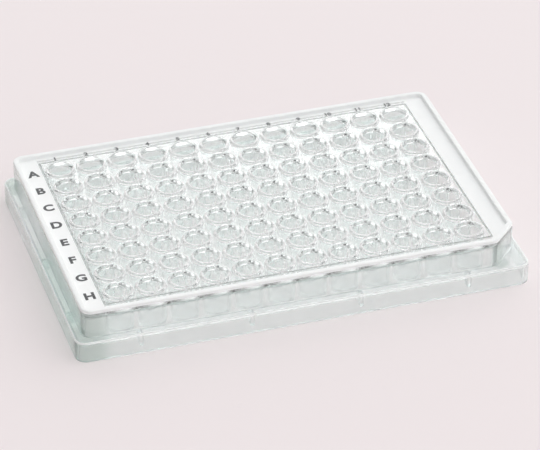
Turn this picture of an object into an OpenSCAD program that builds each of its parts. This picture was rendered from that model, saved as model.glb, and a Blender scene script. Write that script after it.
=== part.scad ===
// Clear 96-well microplate: one moulding with a stepped skirt, a raised rim,
// a flat deck and a grid of flat-bottomed wells, open underneath.
//
// +X runs along the columns, +Y runs from the last row to the first, +Z is up.
// The origin is the centre of the footprint, on the surface the plate rests on.

/* [Footprint] */
// Length of the base, along the columns
base_length = 127.76; // [124:0.01:132]
// Width of the base, along the rows
base_width = 85.48; // [83:0.01:90]
// Outer radius of the four base corners
base_corner_r = 3.18; // [2.5:0.01:6]
// Height of the flange that the plate is gripped by
flange_height = 6.1; // [4.5:0.05:8]

/* [Upper body] */
// Height of the whole plate, from the resting face to the rim
plate_height = 14.35; // [13.4:0.05:18]
// How far the flange stands out beyond the upper body
flange_ledge = 2.4; // [1:0.1:3]
// Outer radius of the upper body's corners
body_corner_r = 3; // [2.2:0.1:5]
// Leg of the bevel across the corner at the last row and last column
corner_bevel = 7; // [3:0.1:9]
// Thickness of the skirt and of the ledge on top of the flange
skirt_wall = 1.2; // [0.8:0.05:1.8]

/* [Deck and rim] */
// Width of the raised rim
rim_width = 1.5; // [1:0.05:2.4]
// Height of the rim above the deck
rim_height = 1.2; // [0.7:0.05:2]
// Thickness of the deck
deck_thickness = 1.2; // [0.8:0.05:2]

/* [Wells] */
// Number of columns
columns = 12; // [1:1:12]
// Number of rows
rows = 8; // [1:1:8]
// Distance from one well's centre to the next
well_pitch = 9; // [8.7:0.01:9.2]
// Inner diameter of a well at its mouth
well_mouth_d = 6.86; // [6:0.01:7.2]
// Inner diameter of a well at its floor
well_floor_d = 6.35; // [5:0.01:6.6]
// Depth of a well, from its mouth to its floor
well_depth = 10.6; // [8:0.05:11.2]
// Thickness of the wall of a well
well_wall = 0.75; // [0.5:0.01:0.85]
// Thickness of the floor of a well
well_floor_thickness = 1; // [0.6:0.05:1.4]
// Height of the ring round a well's mouth above the deck
ring_height = 0.5; // [0.2:0.05:0.65]

/* [Stacking ribs] */
// Depth to which the rim of a plate below reaches into the base
stack_depth = 1.9; // [1:0.05:2.4]
// Thickness of a stacking rib
rib_thickness = 1; // [0.6:0.05:2]
// Ribs along the front, and as many along the back
ribs_along = 4; // [2:1:6]
// Ribs along each end
ribs_across = 3; // [2:1:4]

/* [Hidden] */
$fn = 48;

// How far a cut runs past the face it opens
over = 1;

body_length = base_length - 2 * flange_ledge;
body_width = base_width - 2 * flange_ledge;
ledge_under = flange_height - skirt_wall;
deck_top = plate_height - rim_height;
deck_under = deck_top - deck_thickness;
well_top = deck_top + ring_height;
well_floor = well_top - well_depth;
well_under = well_floor - well_floor_thickness;

// Growth of a well's radius for each millimetre up from its floor
well_taper = (well_mouth_d - well_floor_d) / 2 / well_depth;

// Radius of a well's bore at height z
function bore_r(z) = well_floor_d / 2 + well_taper * (z - well_floor);

// Place of copy i of count, spaced by step and centred on zero
function centred(i, count, step) = (i - (count - 1) / 2) * step;

// Rectangle with round corners, centred
module round_rect(length, width, r) {
    square([length, width - 2 * r], center = true);
    square([length - 2 * r, width], center = true);
    for (sx = [-1, 1], sy = [-1, 1])
        translate([sx * (length / 2 - r), sy * (width / 2 - r)])
            circle(r);
}

// Outline of the base, moved inwards by inset
module base_outline(inset = 0) {
    round_rect(
        base_length - 2 * inset,
        base_width - 2 * inset,
        max(base_corner_r - inset, skirt_wall / 2)
    );
}

// Outline of the upper body, moved inwards by inset, with its bevelled corner
module body_outline(inset = 0) {
    leg = corner_bevel + (sqrt(2) - 2) * inset;
    half_x = body_length / 2 - inset;
    half_y = body_width / 2 - inset;
    difference() {
        round_rect(2 * half_x, 2 * half_y, max(body_corner_r - inset, skirt_wall / 2));
        polygon([
            [half_x - leg - over, -half_y - over],
            [half_x + over, -half_y - over],
            [half_x + over, -half_y + leg + over]
        ]);
    }
}

// Stepped outer form: the flange with the upper body on it
module outer_form() {
    linear_extrude(flange_height)
        base_outline();
    linear_extrude(plate_height)
        body_outline();
}

// Space under the deck, with the recess that a plate below reaches into
module underside() {
    translate([0, 0, -over])
        linear_extrude(ledge_under + over)
            base_outline(skirt_wall);
    translate([0, 0, -over])
        linear_extrude(deck_under + over)
            body_outline(skirt_wall);
}

// Shallow space on the deck, inside the rim
module tray() {
    translate([0, 0, deck_top])
        linear_extrude(rim_height + over)
            body_outline(rim_width);
}

// Puts its children at every well's centre
module at_wells() {
    for (column = [0 : columns - 1], row = [0 : rows - 1])
        translate([
            centred(column, columns, well_pitch),
            centred(row, rows, well_pitch)
        ])
            children();
}

// Outside of one well, a tube closed below
module well_outside() {
    translate([0, 0, well_under])
        cylinder(
            h = well_top - well_under,
            r1 = bore_r(well_under) + well_wall,
            r2 = bore_r(well_top) + well_wall
        );
}

// Bore of one well, open at the top
module well_bore() {
    translate([0, 0, well_floor])
        cylinder(
            h = well_depth + over,
            r1 = bore_r(well_floor),
            r2 = bore_r(well_top + over)
        );
}

// One stacking rib on the front: it joins the flange, the ledge and the body wall
module stack_rib(half_width) {
    reach = flange_ledge + skirt_wall;
    translate([-rib_thickness / 2, -half_width + skirt_wall / 2, stack_depth])
        cube([rib_thickness, reach - skirt_wall / 2, flange_height - skirt_wall / 2 - stack_depth]);
}

// Stacking ribs along all four sides
module stack_ribs() {
    along = body_length / ribs_along;
    across = body_width / ribs_across;
    for (side = [0, 180], i = [0 : ribs_along - 1])
        rotate([0, 0, side])
            translate([centred(i, ribs_along, along), 0, 0])
                stack_rib(base_width / 2);
    for (side = [90, 270], i = [0 : ribs_across - 1])
        rotate([0, 0, side])
            translate([centred(i, ribs_across, across), 0, 0])
                stack_rib(base_length / 2);
}

module well_plate() {
    color([0.86, 0.9, 0.88])
        difference() {
            union() {
                difference() {
                    outer_form();
                    underside();
                    tray();
                }
                stack_ribs();
                at_wells()
                    well_outside();
            }
            at_wells()
                well_bore();
        }
}

well_plate();
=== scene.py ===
"""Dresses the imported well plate: one clear polystyrene moulding with printed row letters and
column numbers, on a plain pale table under soft studio lamps. Shapes are worked out in
millimetres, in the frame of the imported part, and put into the meshes in metres."""

import math

import bpy
import numpy as np
from mathutils import Matrix, Vector


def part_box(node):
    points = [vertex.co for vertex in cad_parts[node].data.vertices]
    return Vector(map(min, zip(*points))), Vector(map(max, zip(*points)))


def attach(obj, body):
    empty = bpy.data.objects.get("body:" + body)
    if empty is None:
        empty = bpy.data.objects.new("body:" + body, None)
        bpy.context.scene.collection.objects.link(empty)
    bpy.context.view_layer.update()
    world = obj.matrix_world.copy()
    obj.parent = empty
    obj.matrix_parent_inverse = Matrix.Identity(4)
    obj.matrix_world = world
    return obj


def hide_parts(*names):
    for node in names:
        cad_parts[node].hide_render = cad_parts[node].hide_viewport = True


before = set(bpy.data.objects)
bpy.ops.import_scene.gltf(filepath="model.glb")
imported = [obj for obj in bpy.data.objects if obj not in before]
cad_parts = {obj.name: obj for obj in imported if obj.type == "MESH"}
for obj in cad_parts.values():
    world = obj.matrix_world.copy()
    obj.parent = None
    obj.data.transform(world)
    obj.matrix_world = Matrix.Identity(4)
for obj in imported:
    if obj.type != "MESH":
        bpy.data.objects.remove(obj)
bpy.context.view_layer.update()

MM = 0.001

# ---- sizes of the moulding, in millimetres ----

plate_high = np.array(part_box("well_plate")[1]) / MM
BASE_HALF = plate_high[:2]
PLATE_HEIGHT = plate_high[2]

BASE_CORNER_R = 3.18
FLANGE_HEIGHT = 6.1
FLANGE_LEDGE = 2.4
BODY_CORNER_R = 3.0
CORNER_BEVEL = 7.0
BEVEL_EDGE_R = 0.6
SKIRT_WALL = 1.2
RIM_WIDTH = 1.5
RIM_HEIGHT = 1.2
DECK_THICKNESS = 1.2
# The fillets at the rim's foot, along the ledge's inner edge and under the deck's edge
FILLET = 0.4

COLUMNS = 12
ROWS = 8
WELL_PITCH = 9.0
WELL_MOUTH_D = 6.86
WELL_FLOOR_D = 6.35
WELL_DEPTH = 10.6
WELL_WALL = 0.75
WELL_FLOOR_THICKNESS = 1.0
RING_HEIGHT = 0.5

# A fine groove in the deck runs round the block of wells
GROOVE_START = 0.05
GROOVE_WIDTH = 0.65
GROOVE_DEPTH = 0.3

STACK_DEPTH = 1.9
RIB_THICKNESS = 1.0
RIB_DRAFT = 0.06
RIBS_ALONG = 4
RIBS_ACROSS = 3

BODY_HALF = BASE_HALF - FLANGE_LEDGE
BLOCK_HALF = np.array([COLUMNS, ROWS]) * WELL_PITCH / 2
# The clear field on the deck ends just outside the groove at both ends, and near the rim elsewhere
FIELD_GROOVE_GAP = 0.05
FIELD_RIM_GAP = 0.9
FIELD_BEVEL = 1.5
FIELD_HALF = np.array([
    BLOCK_HALF[0] + GROOVE_START + GROOVE_WIDTH + FIELD_GROOVE_GAP,
    BODY_HALF[1] - RIM_WIDTH - FIELD_RIM_GAP,
])
LEDGE_UNDER = FLANGE_HEIGHT - SKIRT_WALL
DECK_TOP = PLATE_HEIGHT - RIM_HEIGHT
DECK_UNDER = DECK_TOP - DECK_THICKNESS
WELL_TOP = DECK_TOP + RING_HEIGHT
WELL_FLOOR = WELL_TOP - WELL_DEPTH
WELL_UNDER = WELL_FLOOR - WELL_FLOOR_THICKNESS

# Points along each side of a well's square cell; the whole block's edge has the same spacing
CELL_STEPS = 9
# Steps of each 45-degree half of a corner
CORNER_STEPS = 4
# Places closer than this are one vertex
WELD = 1e-4
SHARP_EDGE = math.radians(50)

# Numbers of the moulding's finishes
# The last finish is a darker tint, painted shade under the rim and in the groove round the wells
CLEAR, MATTE, SATIN, SHADED_STRIP = range(4)


# ---- surfaces ----

def rounding(start, end, corner, steps=2):
    """Points of a rounded edge in a profile, from start to end, as a quadratic curve that
    leaves and arrives in line with corner: (1-t)^2 start + 2t(1-t) corner + t^2 end."""
    t = np.linspace(0, 1, steps + 2)[:, None]
    start, end, corner = (np.asarray(p, float) for p in (start, end, corner))
    return ((1 - t) ** 2 * start + 2 * t * (1 - t) * corner + t ** 2 * end).tolist()


def faces_between(rows, columns):
    """Triangles that join each of a number of closed loops of points to the next, as indices,
    strip by strip. Loop l, point m is vertex l * columns + m, and the last point joins the
    first."""
    row, column = np.meshgrid(np.arange(rows - 1), np.arange(columns), indexing="ij")
    after = (column + 1) % columns
    a = row * columns + column
    b = row * columns + after
    c = (row + 1) * columns + after
    d = (row + 1) * columns + column
    return np.stack([a, b, c, a, c, d], -1).reshape(-1, 3)


def weld(points, triangles, finishes):
    """Makes one vertex of points that share a place, and drops triangles that shrink to a
    line by it."""
    _, keep, index = np.unique(
        np.round(points / WELD).astype(np.int64), axis=0,
        return_index=True, return_inverse=True,
    )
    triangles = index.reshape(-1)[triangles]
    whole = (
        (triangles[:, 0] != triangles[:, 1])
        & (triangles[:, 1] != triangles[:, 2])
        & (triangles[:, 2] != triangles[:, 0])
    )
    return points[keep], triangles[whole], finishes[whole]


def add_mesh(name, points, triangles, finishes, materials):
    """A new piece from points in millimetres and triangles, each with the number of its
    material."""
    mesh = bpy.data.meshes.new(name)
    mesh.from_pydata((points * MM).tolist(), [], triangles.tolist())
    for material in materials:
        mesh.materials.append(material)
    mesh.polygons.foreach_set("material_index", finishes)
    mesh.validate()
    mesh.set_sharp_from_angle(angle=SHARP_EDGE)
    mesh.polygons.foreach_set("use_smooth", np.ones(len(mesh.polygons), bool))
    mesh.update()
    piece = bpy.data.objects.new(name, mesh)
    bpy.context.scene.collection.objects.link(piece)
    return piece


# ---- the outline that the skirt and rim follow ----

def side_stations(half_block, rib_places):
    """Where the profile is set along one side of the plate: at the cell grid of the well
    block, and at both faces of each stacking rib. Gives the place along the side, the
    nearest grid place, and 1 inside a rib or 0 outside it."""
    grid = np.linspace(-half_block, half_block, round(2 * half_block / WELL_PITCH) * CELL_STEPS + 1)
    inner = RIB_THICKNESS / 2
    outer = inner + RIB_DRAFT
    faces = np.concatenate([rib_places + d for d in (-outer, -inner, inner, outer)])
    place = np.unique(np.round(np.concatenate([grid, faces]), 6))
    from_rib = np.abs(place[:, None] - rib_places).min(axis=1)
    nearest = grid[np.abs(place[:, None] - grid).argmin(axis=1)]
    return place, nearest, (from_rib < inner + RIB_DRAFT / 2).astype(float)


def spread(count, length):
    """Centres of count equal shares of a length that is centred on zero."""
    return (np.arange(count) - (count - 1) / 2) * length / count


COLUMN_X = spread(COLUMNS, COLUMNS * WELL_PITCH)
ROW_Y = spread(ROWS, ROWS * WELL_PITCH)

LONG_SIDE = side_stations(BLOCK_HALF[0], spread(RIBS_ALONG, 2 * BODY_HALF[0]))
SHORT_SIDE = side_stations(BLOCK_HALF[1], spread(RIBS_ACROSS, 2 * BODY_HALF[1]))
SIDES = (LONG_SIDE, SHORT_SIDE, LONG_SIDE, SHORT_SIDE)
CORNER_POINTS = 2 * (CORNER_STEPS + 1)
# For each point of an outline, 1 inside a stacking rib and 0 elsewhere
RIB_AT = np.concatenate([np.r_[side[2], np.zeros(CORNER_POINTS)] for side in SIDES])


def outline(half, radii, bevels, inset=0.0, on_grid=False):
    """One closed outline seen from above, moved inwards by inset, with a point for each
    station. It starts on the front and runs to the right. Each corner is two 45-degree arcs
    with a bevel between them: an arc of radius r alone is a bevel whose leg is (2 - root 2) r.
    """
    shrink = 2 - math.sqrt(2)
    turn = np.linspace(0, math.pi / 4, CORNER_STEPS + 1)
    radius = np.maximum(np.array(radii) - inset, 0.0)
    leg = np.maximum(np.array(bevels) - shrink * inset, shrink * radius)
    reach = leg + radius * math.tan(math.pi / 8)
    points = []
    for number, side in enumerate(SIDES):
        along, across = np.roll(half, -number)[:2] - inset
        r, cut = radius[number], reach[number]
        place = np.clip(side[1] if on_grid else side[0], reach[number - 1] - along, along - cut)
        straight = np.column_stack([place, np.full(len(place), -across)])
        first = np.column_stack([along - cut + r * np.sin(turn), -across + r - r * np.cos(turn)])
        second = np.column_stack([
            along - r + r * np.cos(turn[::-1]),
            -across + cut - r * np.sin(turn[::-1]),
        ])
        local = np.concatenate([straight, first, second])
        for _ in range(number):
            local = np.column_stack([-local[:, 1], local[:, 0]])
        points.append(local)
    return np.concatenate(points)


def base_outline(inset):
    """Outline of the flange."""
    return outline(BASE_HALF, [BASE_CORNER_R] * 4, [0.0] * 4, inset)


def body_outline(inset):
    """Outline of the upper body, with the bevel at its front right corner."""
    radii = [BEVEL_EDGE_R] + [BODY_CORNER_R] * 3
    return outline(BODY_HALF, radii, [CORNER_BEVEL, 0.0, 0.0, 0.0], inset)


def block_outline(inset):
    """The edge of the well block's outer cells, which has square corners."""
    return outline(BLOCK_HALF, [0.0] * 4, [0.0] * 4, inset, on_grid=True)


def field_outline(inset):
    """The edge of the clear field on the deck: the matte margins lie beyond it."""
    return outline(FIELD_HALF, [0.0] * 4, [FIELD_BEVEL, 0.0, 0.0, 0.0], inset)


# ---- the clear moulding ----

def curve(lead, finish, path, at, start, end):
    """A rounded corner of a section that would be sharp at (inset, height). It runs from start
    to end, both measured from there. lead is the finish of the strip before it."""
    points = rounding(np.add(at, start), np.add(at, end), at)
    return [(finish if number else lead, path, *point) for number, point in enumerate(points)]


def skirt_profile():
    """The section of the skirt, from the well block out over the rim, down the outside, round
    the foot and back up inside to the underside of the deck. Each step is the finish of the
    strip that leads to it, an outline, an inset from that outline and a height. Inside a
    stacking rib the underside of the ledge comes down to the rib's foot."""
    soft, edge, foot = 0.3, 0.45, 0.25
    groove_half = GROOVE_WIDTH / 2
    # The groove is one curve, which reaches about half as deep as the corner it is drawn to
    groove_bottom = (-GROOVE_START - groove_half, DECK_TOP - 2 * GROOVE_DEPTH)
    rib_foot = LEDGE_UNDER + (STACK_DEPTH - LEDGE_UNDER) * RIB_AT
    return [
        (CLEAR, block_outline, 0, DECK_TOP),
        # The groove's curve takes the darker finish, painted shade round the well block
        *curve(CLEAR, SHADED_STRIP, block_outline, groove_bottom,
               (groove_half, 2 * GROOVE_DEPTH), (-groove_half, 2 * GROOVE_DEPTH)),
        (CLEAR, field_outline, 0, DECK_TOP),
        *curve(MATTE, MATTE, body_outline, (RIM_WIDTH, DECK_TOP), (FILLET, 0), (0, FILLET)),
        *curve(MATTE, MATTE, body_outline, (RIM_WIDTH, PLATE_HEIGHT), (0, -soft), (-soft, 0)),
        *curve(MATTE, MATTE, body_outline, (0, PLATE_HEIGHT), (soft, 0), (0, -soft)),
        (MATTE, body_outline, 0, DECK_TOP + soft),
        # Down the outside past the deck, the darker finish is painted shade under the rim
        (SHADED_STRIP, body_outline, 0, DECK_UNDER - soft / 2),
        *curve(SATIN, SATIN, body_outline, (0, FLANGE_HEIGHT), (0, FILLET), (-FILLET, 0)),
        *curve(SATIN, MATTE, base_outline, (0, FLANGE_HEIGHT), (edge, 0), (0, -edge)),
        *curve(SATIN, SATIN, base_outline, (0, 0), (0, foot), (foot, 0)),
        *curve(SATIN, SATIN, base_outline, (SKIRT_WALL, 0), (-foot, 0), (0, foot)),
        (SATIN, base_outline, SKIRT_WALL, rib_foot),
        (SATIN, body_outline, SKIRT_WALL, rib_foot),
        (SATIN, body_outline, SKIRT_WALL, LEDGE_UNDER),
        *curve(SATIN, SATIN, body_outline, (SKIRT_WALL, DECK_UNDER), (0, -FILLET), (FILLET, 0)),
        (CLEAR, block_outline, 0, DECK_UNDER),
    ]


def skirt_loops():
    """The skirt's section carried round the plate: closed loops of points, and the finish of
    the strip between each loop and the next."""
    steps = skirt_profile()
    loops = [
        np.column_stack([path(inset), np.broadcast_to(z, RIB_AT.shape)])
        for _, path, inset, z in steps
    ]
    return np.array(loops), np.array([finish for finish, *_ in steps[1:]])


def bore_r(z):
    """Radius of a well's bore at height z: it grows evenly from floor to mouth."""
    return (WELL_FLOOR_D + (WELL_MOUTH_D - WELL_FLOOR_D) * (z - WELL_FLOOR) / WELL_DEPTH) / 2


def cell_edge():
    """The square edge of a well's cell, counter-clockwise from its front left corner."""
    step = np.arange(CELL_STEPS) * WELL_PITCH / CELL_STEPS - WELL_PITCH / 2
    half = np.full(CELL_STEPS, WELL_PITCH / 2)
    return np.concatenate([
        np.column_stack([step, -half]),
        np.column_stack([half, step]),
        np.column_stack([-step, half]),
        np.column_stack([-half, -step]),
    ])


def cell_loops(profile, z):
    """One side of a cell: its square edge at height z, then a circle for each (radius,
    height) of the profile. A radius of 0 is the pole that closes it."""
    edge = cell_edge()
    angle = -0.75 * math.pi + 2 * math.pi * np.arange(len(edge)) / len(edge)
    loops = [np.column_stack([edge, np.full(len(edge), z)])]
    for radius, height in profile:
        circle = radius * np.column_stack([np.cos(angle), np.sin(angle)])
        loops.append(np.column_stack([circle, np.full(len(edge), height)]))
    return np.array(loops)


def well_top_profile():
    """From the deck up over the mouth ring, down the bore and across the floor."""
    foot, lip, fillet = 0.12, 0.16, 0.35
    outer = bore_r(DECK_TOP) + WELL_WALL
    ring = bore_r(WELL_TOP) + WELL_WALL
    mouth = bore_r(WELL_TOP)
    floor = bore_r(WELL_FLOOR)
    return (
        rounding((outer + foot, DECK_TOP), (outer, DECK_TOP + foot), (outer, DECK_TOP), 1)
        + rounding((ring, WELL_TOP - lip), (ring - lip, WELL_TOP), (ring, WELL_TOP), 1)
        + rounding((mouth + lip, WELL_TOP), (mouth, WELL_TOP - lip), (mouth, WELL_TOP), 1)
        + rounding((floor, WELL_FLOOR + fillet), (floor - fillet, WELL_FLOOR), (floor, WELL_FLOOR))
        + [(0, WELL_FLOOR)]
    )


def well_under_profile():
    """From the underside of the deck down the outside of the well and across below it."""
    fillet, edge = 0.15, 0.3
    root = bore_r(DECK_UNDER) + WELL_WALL
    tip = bore_r(WELL_UNDER) + WELL_WALL
    return (
        rounding((root + fillet, DECK_UNDER), (root, DECK_UNDER - fillet), (root, DECK_UNDER), 1)
        + rounding((tip, WELL_UNDER + edge), (tip - edge, WELL_UNDER), (tip, WELL_UNDER), 1)
        + [(0, WELL_UNDER)]
    )


def well_centres():
    """The centre of every well, with the columns and rows centred on the footprint."""
    grid = np.stack(np.meshgrid(COLUMN_X, ROW_Y, indexing="ij"), -1).reshape(-1, 2)
    return np.column_stack([grid, np.zeros(len(grid))])


def repeated(loops, centres, flip):
    """Copies of one set of loops at every centre, as points, triangles and their finish."""
    count = loops.shape[0] * loops.shape[1]
    points = (centres[:, None, :] + loops.reshape(1, -1, 3)).reshape(-1, 3)
    faces = faces_between(*loops.shape[:2])
    faces = faces[:, ::-1] if flip else faces
    triangles = (faces[None] + count * np.arange(len(centres))[:, None, None]).reshape(-1, 3)
    return points, triangles, np.full(len(triangles), CLEAR)


def moulding_surface():
    """The whole plate as one closed skin: the swept skirt and rim, joined to both sides of
    every well's cell."""
    skirt, strips = skirt_loops()
    faces = faces_between(*skirt.shape[:2])[:, ::-1]
    sets = [
        (skirt.reshape(-1, 3), faces, np.repeat(strips, len(faces) // len(strips))),
        repeated(cell_loops(well_top_profile(), DECK_TOP), well_centres(), False),
        repeated(cell_loops(well_under_profile(), DECK_UNDER), well_centres(), True),
    ]
    firsts = np.cumsum([0] + [len(points) for points, _, _ in sets])
    return weld(
        np.concatenate([points for points, _, _ in sets]),
        np.concatenate([faces + first for (_, faces, _), first in zip(sets, firsts)]),
        np.concatenate([finishes for _, _, finishes in sets]),
    )


# ---- shader maths ----

class Value:
    """What a node gives: a number, a colour or a shader. Sums and products of numbers add Math
    nodes."""

    def __init__(self, shader, socket):
        self.shader, self.socket = shader, socket

    def _math(self, operation, a, b):
        return self.shader.node("ShaderNodeMath", {"operation": operation}, a, b)

    def __add__(self, other):
        return self._math("ADD", self, other)

    def __mul__(self, other):
        return self._math("MULTIPLY", self, other)

    def band(self, low, high):
        """0 below low, 1 above high, with a smooth rise between."""
        return self.shader.node(
            "ShaderNodeMapRange", {"interpolation_type": "SMOOTHSTEP"},
            Value=self, **{"From Min": low, "From Max": high},
        )

    __radd__ = __add__
    __rmul__ = __mul__


class Shader:
    """A material's node tree, filled in by node()."""

    def __init__(self, name):
        self.material = bpy.data.materials.new(name)
        self.material.use_nodes = True
        self.tree = self.material.node_tree
        self.tree.nodes.clear()
        self.place = self.node("ShaderNodeTexCoord", out="Object")

    def node(self, kind, settings=None, *values, out=0, **named):
        """Adds a node: its settings first, then values or links for its sockets, in order or
        by name. Gives the output named or numbered out."""
        made = self.tree.nodes.new(kind)
        for key, value in (settings or {}).items():
            setattr(made, key, value)
        for key, value in [*enumerate(values), *named.items()]:
            if isinstance(value, Value):
                self.tree.links.new(value.socket, made.inputs[key])
            else:
                made.inputs[key].default_value = value
        return Value(self, made.outputs[out])

    def noise(self, scale, detail=3.0, roughness=0.5, stretch=(1, 1, 1)):
        """Noise of a given count of lumps to the metre, drawn out by stretch."""
        spot = self.node("ShaderNodeMapping", None, Vector=self.place, Scale=stretch)
        return self.node(
            "ShaderNodeTexNoise", None,
            Vector=spot, Scale=scale, Detail=detail, Roughness=roughness,
        )

    def apart_from(self, lines):
        """0 near some upright lines and 1 apart from them, with a smooth rise between. A line is
        its x and y and the distances from it where the rise starts and ends, in millimetres."""
        flat = self.node("ShaderNodeVectorMath", {"operation": "MULTIPLY"}, self.place, (1, 1, 0))
        amount = 1.0
        for x, y, near, far in lines:
            line = (x * MM, y * MM, 0)
            away = self.node(
                "ShaderNodeVectorMath", {"operation": "DISTANCE"}, flat, line, out="Value",
            )
            amount = away.band(near * MM, far * MM) * amount
        return amount

    def blend(self, amount, a, b):
        """A colour that goes from a to b with amount."""
        return self.node(
            "ShaderNodeMix", {"data_type": "RGBA"}, out=2,
            **{"Factor": amount, "A": a, "B": b},
        )

    def finish(self, surface):
        """Sends a shader to the material's output, and gives the material."""
        output = self.tree.nodes.new("ShaderNodeOutputMaterial")
        self.tree.links.new(surface.socket, output.inputs["Surface"])
        return self.material


# ---- finishes ----

POLYSTYRENE_IOR = 1.59
CLEAR_TINT = (0.968, 0.988, 0.985, 1)
CLEAR_TINT_DEEP = (0.957, 0.982, 0.978, 1)
MATTE_TINT = (0.945, 0.952, 0.952, 1)
MATTE_TINT_DEEP = (0.925, 0.935, 0.935, 1)
SATIN_TINT = (0.92, 0.955, 0.95, 1)
SATIN_TINT_DEEP = (0.885, 0.93, 0.925, 1)
# Painted shade near some corners of the skirt
SATIN_CORNER_SHADE = (0.72, 0.79, 0.765, 1)
# Painted shade along the front half of the lettered end
SATIN_END_SHADE = (0.83, 0.92, 0.895, 1)
# Painted shade: the darker tint of the strip under the rim and of the groove round the wells
SHADED_STRIP_TINT = (0.64, 0.68, 0.67, 1)
SHADED_STRIP_TINT_DEEP = (0.57, 0.61, 0.60, 1)
# Painted shade at the same corners, on the darker strip
SHADED_STRIP_CORNER_SHADE = (0.45, 0.49, 0.48, 1)
# What one wall leaves of a lamp's light in the plate's shadow
SHADOW_TINT = (0.98, 0.99, 0.985, 1)
PRINT_GREY = (0.035, 0.037, 0.04, 1)
PRINT_GREY_THIN = (0.16, 0.165, 0.17, 1)
TABLE_COLOUR = (0.863, 0.791, 0.799, 1)

# How far inside both faces of the skirt the line at the bevel's edge stands
BEVEL_LINE_INSET = 1.3
# Upright lines near which the skirt gets painted shade, a darker tint: x, y, and how far from them
# the darker tint starts to fade and ends, in millimetres. Two are the corners at the lettered end,
# and one is the edge between the front and the bevel.
SHADED_CORNERS = [
    (-BODY_HALF[0], -BODY_HALF[1], 3.5, 7.5),
    (-BODY_HALF[0], BODY_HALF[1], 3.5, 7.5),
    (BODY_HALF[0] - CORNER_BEVEL + BEVEL_LINE_INSET, -BODY_HALF[1] + BEVEL_LINE_INSET, 1.9, 3.0),
]
# The front half of the lettered end gets painted shade, darker and greener: the tint fades with the
# distance from an upright line that stands far outside that end, given in the same way
SHADED_END = [(-BODY_HALF[0] - 80, -30, 83.5, 90)]

# Height of the ripples, scuffs and grain together, in metres, and how strongly they show
RELIEF_HEIGHT = 0.00006
RELIEF_STRENGTH = 0.14


def polystyrene(name, tint, deep_tint, gloss_loss, clearness, grain, painted_shades=()):
    """Clear moulded polystyrene: a faint cool tint, slow ripples from the mould, fine scuffs
    that dull the gloss, and the grain of the mould's own finish. gloss_loss is its roughness
    and clearness the share of light that goes through without being scattered. The shades given
    are darker tints painted as shade, each with the upright lines that it is near. Lamps shine
    through it, so it casts only a thin shadow."""
    s = Shader(name)
    flow = s.noise(120, detail=2.0, stretch=(1, 1.6, 1))
    scuffs = s.noise(2600, detail=2.0, roughness=0.65, stretch=(1, 5, 2)).band(0.56, 0.8)
    haze = s.noise(420, detail=2.0).band(0.35, 0.8)
    tint = s.blend(haze, tint, deep_tint)
    # Painted shade: darker tints near the given upright lines
    for darker, lines in painted_shades:
        tint = s.blend(s.apart_from(lines), darker, tint)
    bump = s.node(
        "ShaderNodeBump", None, Height=flow + scuffs * 0.15 + grain * s.noise(9000, detail=2.0),
        Strength=RELIEF_STRENGTH, Distance=RELIEF_HEIGHT,
    )
    plastic = s.node(
        "ShaderNodeBsdfPrincipled", None,
        **{"Base Color": tint, "Roughness": gloss_loss + 0.10 * scuffs + 0.04 * haze,
           "IOR": POLYSTYRENE_IOR, "Transmission Weight": clearness, "Normal": bump},
    )
    lit_through = s.node("ShaderNodeBsdfTransparent", None, Color=SHADOW_TINT)
    is_shadow = s.node("ShaderNodeLightPath", out="Is Shadow Ray")
    return s.finish(s.node("ShaderNodeMixShader", None, is_shadow, plastic, lit_through))


def moulding_finishes():
    """The moulding's finishes in the order of their numbers: polished at the wells, matte on
    the margins and the rim, satin on the skirt with painted shade near some corners and along the
    lettered end, and a darker tint that is painted shade under the rim and in the groove round the
    wells."""
    satin_painted_shades = [(SATIN_END_SHADE, SHADED_END), (SATIN_CORNER_SHADE, SHADED_CORNERS)]
    strip_painted_shades = [(SHADED_STRIP_CORNER_SHADE, SHADED_CORNERS)]
    return [
        polystyrene(
            "clear_polystyrene", CLEAR_TINT, CLEAR_TINT_DEEP,
            gloss_loss=0.02, clearness=1.0, grain=0.0,
        ),
        polystyrene(
            "matte_polystyrene", MATTE_TINT, MATTE_TINT_DEEP,
            gloss_loss=0.42, clearness=0.18, grain=0.3,
        ),
        polystyrene(
            "satin_polystyrene", SATIN_TINT, SATIN_TINT_DEEP,
            gloss_loss=0.12, clearness=0.82, grain=0.1, painted_shades=satin_painted_shades,
        ),
        polystyrene(
            "shaded_strip_polystyrene", SHADED_STRIP_TINT, SHADED_STRIP_TINT_DEEP,
            gloss_loss=0.06, clearness=0.9, grain=0.0, painted_shades=strip_painted_shades,
        ),
    ]


def index_print():
    """Satin grey ink, a little uneven where it was printed thin."""
    s = Shader("index_print")
    grain = s.noise(3000, detail=3.0)
    ink = s.blend(grain.band(0.4, 0.75), PRINT_GREY, PRINT_GREY_THIN)
    return s.finish(s.node(
        "ShaderNodeBsdfPrincipled", None,
        **{"Base Color": ink, "Roughness": 0.4 + 0.2 * grain},
    ))


def table_top():
    """Plain pale table."""
    s = Shader("table_top")
    return s.finish(s.node(
        "ShaderNodeBsdfPrincipled", None,
        **{"Base Color": TABLE_COLOUR, "Roughness": 0.6, "Specular IOR Level": 0.2},
    ))


# ---- printed marks ----

LETTER_HEIGHT = 3.3
NUMBER_HEIGHT = 1.7
PRINT_THICKNESS = 0.04
# How far a character's edge stands out, as a share of the font's size
BOLD = 0.042
# How far outside the block of wells the middles of the marks lie
LETTER_OUT = 3.3
NUMBER_OUT = 1.6


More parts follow.
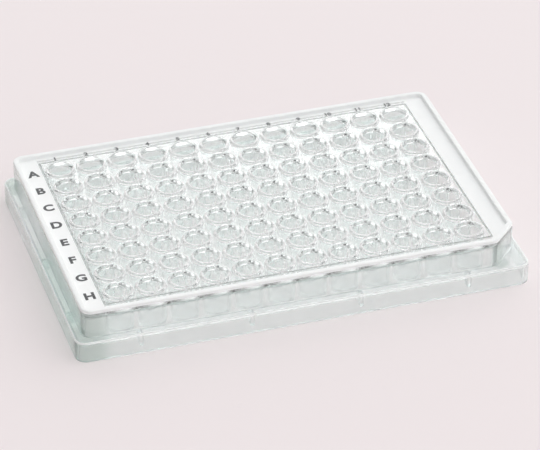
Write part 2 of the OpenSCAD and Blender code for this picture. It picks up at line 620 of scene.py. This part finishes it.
def glyph(text, height):
    """A printed character as points and triangles in millimetres: height tall from the foot
    to the top, centred on zero, lying face up at height zero. Its bevelled edge makes it
    bolder."""
    font = bpy.data.curves.new("glyph", "FONT")
    font.body = text
    font.bevel_depth = BOLD
    font.bevel_resolution = 0
    shape = bpy.data.objects.new("glyph", font)
    mesh = bpy.data.meshes.new_from_object(shape)
    mesh.calc_loop_triangles()
    points = np.empty(len(mesh.vertices) * 3)
    mesh.vertices.foreach_get("co", points)
    triangles = np.empty(len(mesh.loop_triangles) * 3, int)
    mesh.loop_triangles.foreach_get("vertices", triangles)
    bpy.data.objects.remove(shape)
    bpy.data.curves.remove(font)
    bpy.data.meshes.remove(mesh)
    points = points.reshape(-1, 3)
    low, high = points.min(0), points.max(0)
    middle = (low + high) / 2
    scale = height / (high[1] - low[1])
    stretch = [scale, scale, PRINT_THICKNESS / (high[2] - low[2])]
    return (points - [middle[0], middle[1], low[2]]) * stretch, triangles.reshape(-1, 3)


def marks(name, texts, centres, height, material):
    """A row of printed characters, one at each centre, as one piece."""
    points, triangles, first = [], [], 0
    for text, centre in zip(texts, centres):
        some, faces = glyph(text, height)
        points.append(some + [*centre, DECK_TOP])
        triangles.append(faces + first)
        first += len(some)
    triangles = np.concatenate(triangles)
    surface = weld(np.concatenate(points), triangles, np.zeros(len(triangles), int))
    return add_mesh(name, *surface, [material])


def add_to_plate(piece):
    """Makes a piece part of the plate."""
    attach(piece, "root")


# ---- the plate ----

moulding = add_mesh("moulding", *moulding_surface(), moulding_finishes())
flatten = moulding.modifiers.new("flat faces stay flat", "WEIGHTED_NORMAL")
flatten.keep_sharp = True
flatten.weight = 90
add_to_plate(moulding)
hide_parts("well_plate")

ink = index_print()
letters = marks(
    "row_letters", "ABCDEFGH", [(-BLOCK_HALF[0] - LETTER_OUT, y) for y in ROW_Y[::-1]],
    LETTER_HEIGHT, ink,
)
numbers = marks(
    "column_numbers", [str(n + 1) for n in range(COLUMNS)],
    [(x, BLOCK_HALF[1] + NUMBER_OUT) for x in COLUMN_X], NUMBER_HEIGHT, ink,
)
add_to_plate(letters)
add_to_plate(numbers)


# ---- table, lamps and camera ----

TABLE_SIZE = 6000.0
# How far the table lies below the plate's foot
TABLE_GAP = 0.02
# Light passes many walls of the plate before it leaves
LIGHT_BOUNCES = 48
DIFFUSE_BOUNCES = 8


def table():
    """A flat square of table, a hair below the plate's foot."""
    corners = np.array([[-1, -1], [1, -1], [1, 1], [-1, 1]]) * TABLE_SIZE / 2
    points = np.column_stack([corners, np.full(len(corners), -TABLE_GAP)])
    triangles = np.array([[0, 1, 2], [0, 2, 3]])
    return add_mesh("table", points, triangles, np.zeros(len(triangles), int), [table_top()])


def direction(azimuth, elevation):
    """The unit vector towards an azimuth, 0 at the front and 90 at the right, and an elevation,
    both in degrees."""
    a, e = math.radians(azimuth), math.radians(elevation)
    return Vector((math.sin(a) * math.cos(e), -math.cos(a) * math.cos(e), math.sin(e)))


def lamp(name, azimuth, elevation, distance, size, power):
    """A soft rectangular lamp that looks at the plate from a direction. Its distance and size
    are in metres and its power in watts."""
    light = bpy.data.lights.new(name, "AREA")
    light.shape = "RECTANGLE"
    light.size, light.size_y = size
    light.energy = power
    body = bpy.data.objects.new(name, light)
    bpy.context.scene.collection.objects.link(body)
    way = direction(azimuth, elevation)
    body.location = way * distance
    body.rotation_euler = way.to_track_quat("Z", "Y").to_euler()


def soft_world(strength, slope, azimuth):
    """A pale surround of a strength, brighter towards one azimuth by slope and dimmer by as much
    on the other side."""
    world = bpy.data.worlds.new("surround")
    world.use_nodes = True
    world.cycles.sampling_method = "NONE"
    tree = world.node_tree
    way = tree.nodes.new("ShaderNodeTexCoord")
    towards = tree.nodes.new("ShaderNodeVectorMath")
    towards.operation = "DOT_PRODUCT"
    a = math.radians(azimuth)
    towards.inputs[1].default_value = (slope * math.sin(a), -slope * math.cos(a), 0)
    level = tree.nodes.new("ShaderNodeMath")
    level.inputs[1].default_value = strength
    background = tree.nodes["Background"]
    background.inputs["Color"].default_value = (1, 1, 1, 1)
    tree.links.new(way.outputs["Generated"], towards.inputs[0])
    tree.links.new(towards.outputs["Value"], level.inputs[0])
    tree.links.new(level.outputs[0], background.inputs["Strength"])
    bpy.context.scene.world = world


def camera(azimuth, elevation, roll, distance, target, lens):
    """A long lens that looks down at the plate from the front left. Angles are in degrees, the
    distance is in metres, and the target and the lens are in millimetres."""
    data = bpy.data.cameras.new("camera")
    data.lens = lens
    data.sensor_width = 36
    data.clip_end = 20
    body = bpy.data.objects.new("camera", data)
    bpy.context.scene.collection.objects.link(body)
    way = direction(azimuth, elevation)
    upright = way.to_track_quat("Z", "Y").to_matrix().to_4x4()
    turn = upright @ Matrix.Rotation(math.radians(roll), 4, "Z")
    body.matrix_world = Matrix.Translation(Vector(target) * MM + way * distance) @ turn
    bpy.context.scene.camera = body


table()
soft_world(strength=0.85, slope=0.5, azimuth=100)
lamp("overhead", azimuth=40, elevation=65, distance=1.2, size=(0.8, 0.8), power=1.7)
lamp("back softbox", azimuth=163, elevation=26.5, distance=1.3, size=(0.9, 0.26), power=1.6)
camera(
    azimuth=-17.007, elevation=33.298, roll=-0.228,
    distance=0.91941, target=(1.169, -4.008, 7.0), lens=221.37,
)

scene = bpy.context.scene
scene.view_settings.view_transform = "Standard"
scene.cycles.max_bounces = LIGHT_BOUNCES
scene.cycles.glossy_bounces = LIGHT_BOUNCES
scene.cycles.transmission_bounces = LIGHT_BOUNCES
scene.cycles.transparent_max_bounces = LIGHT_BOUNCES
scene.cycles.diffuse_bounces = DIFFUSE_BOUNCES
scene.cycles.blur_glossy = 0.0
